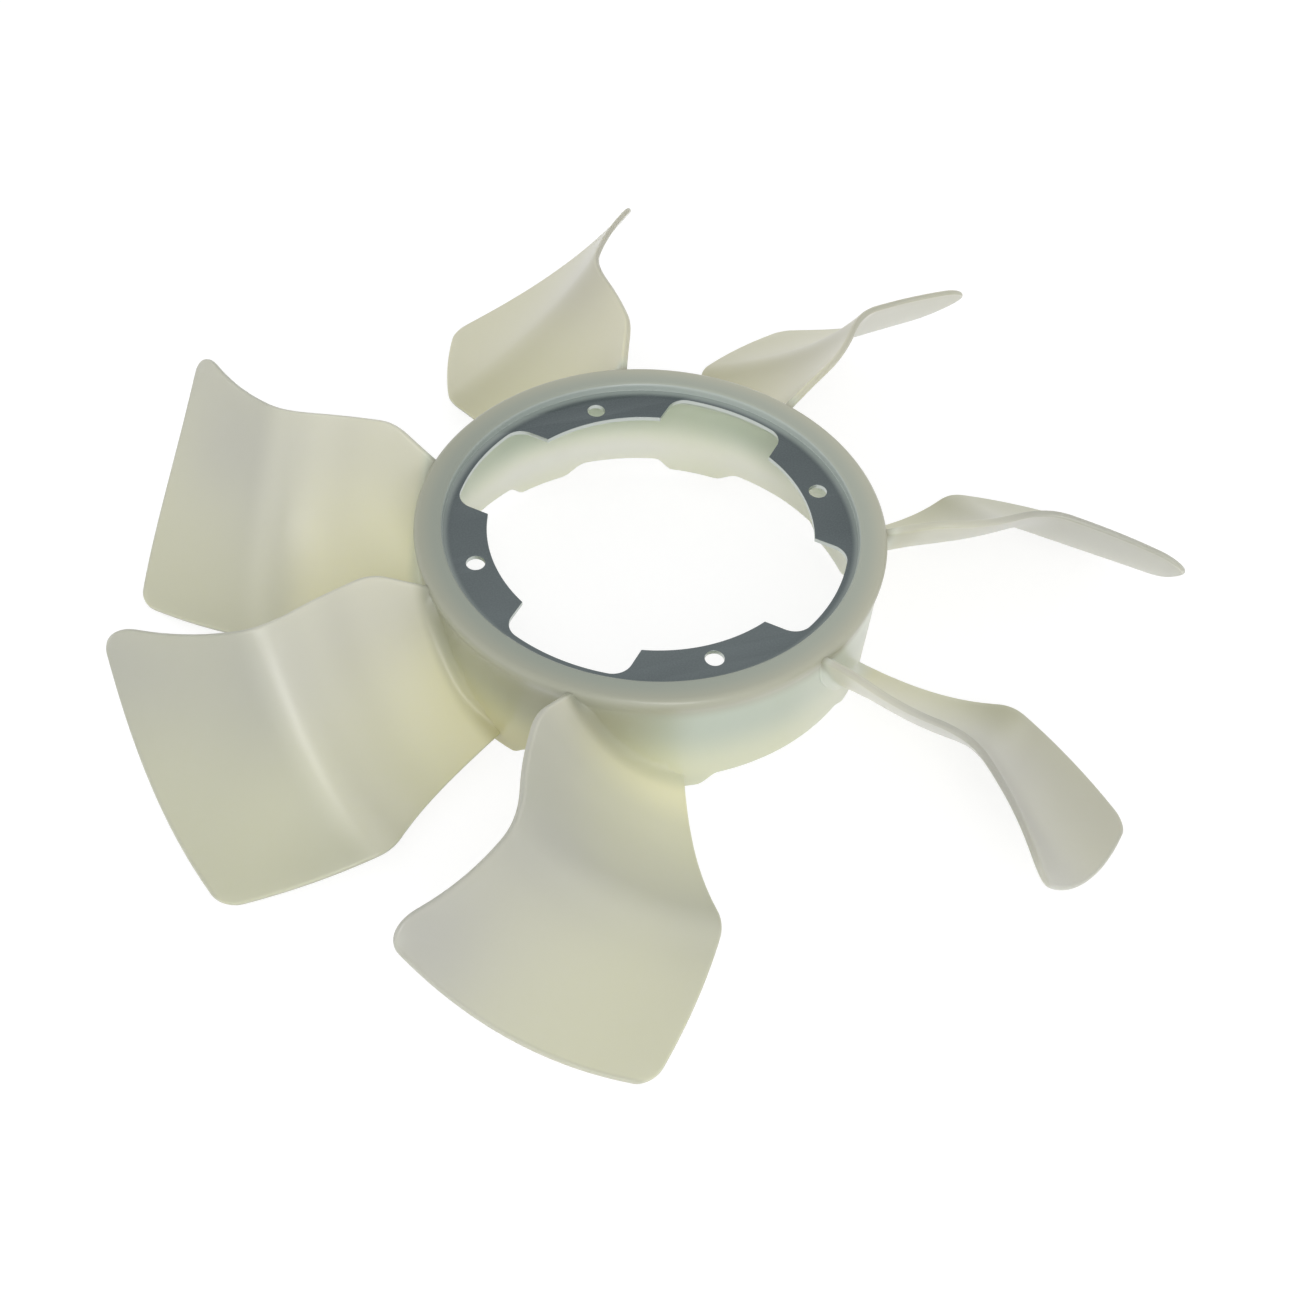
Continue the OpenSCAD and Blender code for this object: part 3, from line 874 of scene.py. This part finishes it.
def edges_and_under_faces(n, spot, far_blades, colour):
    """The blades' colour with their edges darker, as painted shade, and their under faces paler, as painted
    light.
    """
    normal_x, normal_y, upward = n.split(n.add("ShaderNodeTexCoord").outputs["Normal"])
    across = n.math("SUBTRACT", n.product(spot.x, normal_y), n.product(spot.y, normal_x))
    round_axis = n.math("DIVIDE", across, spot.radius)
    # Painted shade on the upper edges
    upper_edge = n.product(n.ramp(round_axis, *UPPER_EDGE_ROUND_PART), n.ramp(upward, *UPPER_EDGE_UP_PART))
    colour = n.mix(n.product(upper_edge, UPPER_EDGE_SHARE), colour, UPPER_EDGE_DARK)
    # Painted light: the under faces are paler, most on the far blades, for light that comes through them from
    # above
    under_face = n.product(n.ramp(upward, *UNDER_FACE_UP_PART), n.zone(spot.radius, UNDER_FACE_R))
    under_share = n.math("ADD", n.product(far_blades, UNDER_FAR_SHARE), UNDER_SHARE)
    colour = n.mix(n.product(under_face, under_share), colour, UNDER_PALE)
    # Painted shade on the lower edges and at the tip
    lower_edge = n.product(n.ramp(round_axis, *LOWER_EDGE_ROUND_PART), n.ramp(upward, *LOWER_EDGE_UP_PART))
    lower_or_tip = n.math("MAXIMUM", lower_edge, n.zone(spot.radius, TIP_EDGE_R))
    return n.mix(n.product(lower_or_tip, LOWER_EDGE_SHARE), colour, LOWER_EDGE_DARK)


def hub_wall_colour(n, spot, clouds):
    """Greener than the blades; paler low down and at the right, as painted light, and browner between two of
    the blades, as painted shade.
    """
    colour = n.mix(n.zone(spot.height, WALL_LOW_Z), WALL_HIGH, WALL_LOW)
    colour = n.mix(n.ramp(clouds, *CLOUD_RANGE, 0.0, WALL_CLOUD_SHARE), colour, WALL_CLOUD)
    # Painted light on the right
    colour = n.mix(n.product(spot.side(WALL_RIGHT), WALL_RIGHT_SHARE), colour, WALL_RIGHT_PALE)
    # Painted shade between two of the blades, heavier high up
    brown = n.mix(n.zone(spot.height, WALL_BROWN_Z), WALL_BROWN_HIGH_TINT, WALL_BROWN_LOW_TINT)
    return n.mix(spot.side(WALL_BROWN), colour, brown, "MULTIPLY")


def inner_wall_colour(n, spot, clouds):
    """The hub's inner wall is brighter, as painted light for light that comes through it from outside, and
    darker high up and at the right, as painted shade.
    """
    colour = n.mix(n.zone(spot.height, INNER_WALL_LOW_Z), INNER_WALL_HIGH, INNER_WALL_LOW)
    colour = n.mix(n.ramp(clouds, *CLOUD_RANGE, 0.0, INNER_WALL_CLOUD_SHARE), colour, INNER_WALL_CLOUD)
    return n.tint(colour, spot.side(INNER_WALL_RIGHT), INNER_WALL_RIGHT_TINT)


def nylon_material():
    material = bpy.data.materials.new("nylon_natural")
    n = Nodes(material)
    spot = Spot(n)
    low = n.zone(spot.height, BLADE_LOW_Z)
    # Sides of the fan on which light and shade are painted
    left_blades = spot.side(LEFT_BLADES)
    far_blades = spot.side(FAR_BLADES)
    # Soft clouds from uneven cooling
    clouds = n.noise(spot.place, CLOUD_SCALE, CLOUD_DETAIL)
    colour = panel_colour(n, spot, low, left_blades, far_blades)
    colour = single_blades(n, spot, low, colour)
    colour = n.mix(n.ramp(clouds, *BLADE_CLOUD_RANGE, 0.0, BLADE_CLOUD_SHARE), colour, BLADE_CLOUD)
    colour = edges_and_under_faces(n, spot, far_blades, colour)
    colour = n.mix(n.zone(spot.radius, WALL_R), colour, hub_wall_colour(n, spot, clouds))
    # The dark steel shows through the rim that covers it
    over_steel = n.product(n.zone(spot.radius, OVER_STEEL_R), n.zone(spot.height, OVER_STEEL_Z))
    rim = n.mix(n.zone(spot.radius, RIM_ACROSS_R), RIM_INNER, RIM_OUTER)
    # Painted shade, heavier on the left than on the right; it also darkens the bore
    rim_tint = n.mix(spot.side(RIM_RIGHT), RIM_LEFT_TINT, RIM_RIGHT_TINT)
    colour = n.mix(over_steel, colour, n.mix(1.0, rim, rim_tint, "MULTIPLY"))
    # Painted light: the bore of the rim is paler and bluer
    bore = n.product(n.zone(spot.radius, BORE_FACE_R), n.zone(spot.height, BORE_FACE_Z))
    colour = n.mix(bore, colour, n.mix(1.0, BORE_BLUE, rim_tint, "MULTIPLY"))
    inside = n.product(n.zone(spot.radius, INNER_WALL_R), n.zone(spot.height, INNER_WALL_Z))
    colour = n.mix(inside, colour, inner_wall_colour(n, spot, clouds))
    grain = n.noise(spot.place, NYLON_GRAIN_SCALE, GRAIN_DETAIL)
    n.finish(n.add("ShaderNodeBsdfPrincipled", {
        "Base Color": colour,
        "Roughness": n.ramp(clouds, *CLOUD_RANGE, *NYLON_ROUGHNESS),
        "IOR": NYLON_IOR,
        "Subsurface Weight": n.math("SUBTRACT", 1.0, over_steel),
        "Subsurface Radius": EVEN_SCATTER,
        "Subsurface Scale": NYLON_SCATTER * METRE,
        "Normal": n.bump(grain, NYLON_GRAIN_STRENGTH, NYLON_GRAIN_DISTANCE)}))
    return material


# Steel

# Colours, shares, masks and fine surface, given as for the nylon
STEEL_DARK = srgb(96, 105, 107)
STEEL_LIGHT = srgb(106, 115, 117)
STEEL_PATCH = srgb(112, 121, 123)
STEEL_PATCH_SHARE = 0.25
# Painted light on the near side of the steel
STEEL_NEAR = srgb(130, 139, 140)
STEEL_NEAR_SHARE = 0.3
# Painted reflection of the bore's wall in the steel
STEEL_PAINTED_REFLECTION = srgb(160, 169, 165)
STEEL_EDGE = srgb(196, 202, 198)
# Side of the steel's painted light
STEEL_NEAR_SIDE = (0, 1, -0.2, 0.8)
# Where the painted reflection of the bore's wall lies, and how much wider it is on the far side
PAINTED_REFLECTION_R = (80.8, 84.2)
PAINTED_REFLECTION_FAR_SIDE = (0, -1, -0.2, 0.9)
PAINTED_REFLECTION_WIDER = 1.5
STEEL_EDGE_UP_PART = (0.75, 0.35)
SPECKLE_SCALE = 1400
SPECKLE_HARSHNESS = 0.6
SPECKLE_RANGE = (0.35, 0.7)
PATCH_SCALE = 24
STEEL_METALLIC = 0.75
# Metallic of the steel under the painted reflection
PAINTED_REFLECTION_METALLIC = 0.25
STEEL_ROUGHNESS = (0.29, 0.31)
STEEL_GRAIN_STRENGTH = 0.015
STEEL_GRAIN_DISTANCE = 0.1


def steel_material():
    material = bpy.data.materials.new("steel_coated")
    n = Nodes(material)
    spot = Spot(n)
    upward = n.split(n.add("ShaderNodeNewGeometry").outputs["Normal"])["Z"]
    edge = n.ramp(n.math("ABSOLUTE", upward), *STEEL_EDGE_UP_PART)
    speckle = n.noise(spot.place, SPECKLE_SCALE, GRAIN_DETAIL, SPECKLE_HARSHNESS)
    coat = n.mix(n.ramp(speckle, *SPECKLE_RANGE), STEEL_DARK, STEEL_LIGHT)
    patches = n.noise(spot.place, PATCH_SCALE, CLOUD_DETAIL)
    coat = n.mix(n.ramp(patches, *CLOUD_RANGE, 0.0, STEEL_PATCH_SHARE), coat, STEEL_PATCH)
    # Painted light: the steel is paler on the near side
    coat = n.mix(spot.side(STEEL_NEAR_SIDE, 0.0, STEEL_NEAR_SHARE), coat, STEEL_NEAR)
    # Painted reflection of the bore's wall: the steel is lighter and less metallic along the foot of the
    # bore, wider on the far side
    painted_reflection_radius = n.math("ADD", spot.radius, spot.side(PAINTED_REFLECTION_FAR_SIDE, 0.0, PAINTED_REFLECTION_WIDER * METRE))
    painted_reflection = n.zone(painted_reflection_radius, PAINTED_REFLECTION_R)
    coat = n.mix(painted_reflection, coat, STEEL_PAINTED_REFLECTION)
    less_metal = n.product(painted_reflection, STEEL_METALLIC - PAINTED_REFLECTION_METALLIC)
    n.finish(n.add("ShaderNodeBsdfPrincipled", {
        "Base Color": n.mix(edge, coat, STEEL_EDGE),
        "Roughness": n.ramp(speckle, *CLOUD_RANGE, *STEEL_ROUGHNESS),
        "Metallic": n.math("SUBTRACT", STEEL_METALLIC, less_metal),
        "Normal": n.bump(speckle, STEEL_GRAIN_STRENGTH, STEEL_GRAIN_DISTANCE)}))
    return material


# Studio

FLOOR_HALF_SIDE = 8.0
FLOOR_COLOUR = (0.93, 0.93, 0.93, 1)
FLOOR_SEEN_COLOUR = (0.28, 0.28, 0.28, 1)
FLOOR_SEEN_GLOW = 0.81
WHITE = (1, 1, 1, 1)
# The world's strength low down and overhead, between two upward parts of its direction
WORLD_UP_PART = (0.2, 0.9)
WORLD_STRENGTHS = (1.08, 0.55)
# The side on which the world is a little weaker, and by how much
WORLD_WEAKER_WAY = (0.1, -0.12)
# Lamps: place as seen in the photo in metres, width and height in metres, and power in watts
TOP_LAMP_PLACE = (0, -0.3, 1.3)
TOP_LAMP_SIZE = (1.6, 1.2)
TOP_LAMP_POWER = 1.5
FRONT_LAMP_PLACE = (0.25, 1.18, 0.89)
FRONT_LAMP_SIZE = (0.25, 1.25)
FRONT_LAMP_ALONG = (-0.576, -0.406, 0.71)
FRONT_LAMP_POWER = 6.3


def seen_directly(n):
    """1 for rays from the camera and for those seen in a reflection or through the material."""
    path = n.add("ShaderNodeLightPath").outputs
    first = n.math("MAXIMUM", path["Is Camera Ray"], path["Is Glossy Ray"])
    return n.math("MAXIMUM", first, path["Is Transmission Ray"])


def floor_material():
    """Pale floor that looks white where it is seen and keeps the object's shadow."""
    material = bpy.data.materials.new("studio_floor")
    n = Nodes(material)
    lit = n.add("ShaderNodeBsdfDiffuse", {"Color": FLOOR_COLOUR})
    shaded = n.add("ShaderNodeBsdfDiffuse", {"Color": FLOOR_SEEN_COLOUR})
    glow = n.add("ShaderNodeEmission", {"Color": WHITE, "Strength": FLOOR_SEEN_GLOW})
    seen = n.add("ShaderNodeAddShader", {0: shaded.outputs[0], 1: glow.outputs[0]})
    n.finish(n.add("ShaderNodeMixShader", {0: seen_directly(n), 1: lit.outputs[0], 2: seen.outputs[0]}))
    return material


def make_floor(level):
    far = FLOOR_HALF_SIDE
    mesh = bpy.data.meshes.new("studio_floor")
    corners = [(-far, -far, level), (far, -far, level), (far, far, level), (-far, far, level)]
    mesh.from_pydata(corners, [], [(0, 1, 2, 3)])
    mesh.materials.append(floor_material())
    floor = new_object("studio_floor", mesh)


def make_world():
    """Plain soft light, weaker overhead and a little weaker behind and to the right in the photo."""
    world = bpy.data.worlds.new("studio")
    bpy.context.scene.world = world
    n = Nodes(world)
    direction = n.add("ShaderNodeTexCoord").outputs["Generated"]
    upward = n.split(direction)["Z"]
    weaker = n.dot(direction, from_camera_side(*WORLD_WEAKER_WAY, 0))
    strength = n.product(n.ramp(upward, *WORLD_UP_PART, *WORLD_STRENGTHS), n.math("SUBTRACT", 1.0, weaker))
    n.finish(n.add("ShaderNodeBackground", {"Color": WHITE, "Strength": strength}), "ShaderNodeOutputWorld")


def make_lamp(name, place, size, power, along=(0, 0, 1)):
    """Rectangular lamp that points at the origin, with its longer side along a direction."""
    lamp = bpy.data.lights.new(name, "AREA")
    lamp.shape = "RECTANGLE"
    lamp.size = size[0]
    lamp.size_y = size[1]
    lamp.energy = power
    back = Vector(place).normalized()
    side = Vector(along).cross(back).normalized()
    matrix = Matrix((side, back.cross(side), back)).transposed().to_4x4()
    matrix.translation = place
    new_object(name, lamp).matrix_world = matrix


# The photo's camera, fitted to the outline, the bolt holes and the hub: pixels, millimetres and
# degrees. The model is raised by MODEL_RISE against the frame that the camera was fitted in.
PHOTO_SIDE = 1300
FOCAL_PIXELS = 1619.91
CAMERA_DISTANCE = 655.6
CAMERA_ELEVATION = 44.81
CAMERA_ROLL = 3.95
CAMERA_YAW = 0.25
CAMERA_PITCH = -4.31
MODEL_RISE = 1.0
SENSOR_WIDTH = 36
NEAREST_SEEN = 0.02
FARTHEST_SEEN = 60


def camera_axes():
    """The camera's place in millimetres, and its right, up and forward directions, in the model's frame."""
    rise = math.radians(CAMERA_ELEVATION)
    place = np.array([0, -CAMERA_DISTANCE * math.cos(rise), CAMERA_DISTANCE * math.sin(rise)])
    forward = -place / np.linalg.norm(place)
    right = np.array([1.0, 0, 0])
    up = np.cross(right, forward)
    yaw = math.radians(CAMERA_YAW)
    pitch = math.radians(CAMERA_PITCH)
    forward = math.cos(pitch) * (math.cos(yaw) * forward + math.sin(yaw) * right) + math.sin(pitch) * up
    forward /= np.linalg.norm(forward)
    right = np.cross(forward, up)
    right /= np.linalg.norm(right)
    up = np.cross(right, forward)
    roll = math.radians(CAMERA_ROLL)
    right, up = (math.cos(roll) * right + math.sin(roll) * up, math.cos(roll) * up - math.sin(roll) * right)
    back = turn_matrix(math.radians(-MODEL_TURN))
    place = back @ (place - np.array([0, 0, MODEL_RISE]))
    return place, back @ right, back @ up, back @ forward


def make_camera():
    place, right, up, forward = camera_axes()
    data = bpy.data.cameras.new("photo_camera")
    data.sensor_width = SENSOR_WIDTH
    data.lens = SENSOR_WIDTH * FOCAL_PIXELS / PHOTO_SIDE
    data.clip_start = NEAREST_SEEN
    data.clip_end = FARTHEST_SEEN
    camera = new_object("photo_camera", data)
    matrix = Matrix.Identity(4)
    for row in range(3):
        matrix[row] = (right[row], up[row], -forward[row], place[row] * METRE)
    camera.matrix_world = matrix
    bpy.context.scene.camera = camera


# Building the scene

moulding = make_moulding()
moulding.data.materials.clear()
moulding.data.materials.append(nylon_material())
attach(moulding, "root")
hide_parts("fan_moulding")

ring = make_ring()
ring.data.materials.clear()
ring.data.materials.append(steel_material())
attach(ring, "root")
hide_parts("steel_insert_ring")

make_floor(cad_low.z)
make_world()
make_lamp("softbox_top", from_camera_side(*TOP_LAMP_PLACE), TOP_LAMP_SIZE, TOP_LAMP_POWER)
make_lamp("softbox_front", from_camera_side(*FRONT_LAMP_PLACE), FRONT_LAMP_SIZE, FRONT_LAMP_POWER,
          from_camera_side(*FRONT_LAMP_ALONG))
make_camera()

scene = bpy.context.scene
scene.view_settings.view_transform = "Standard"
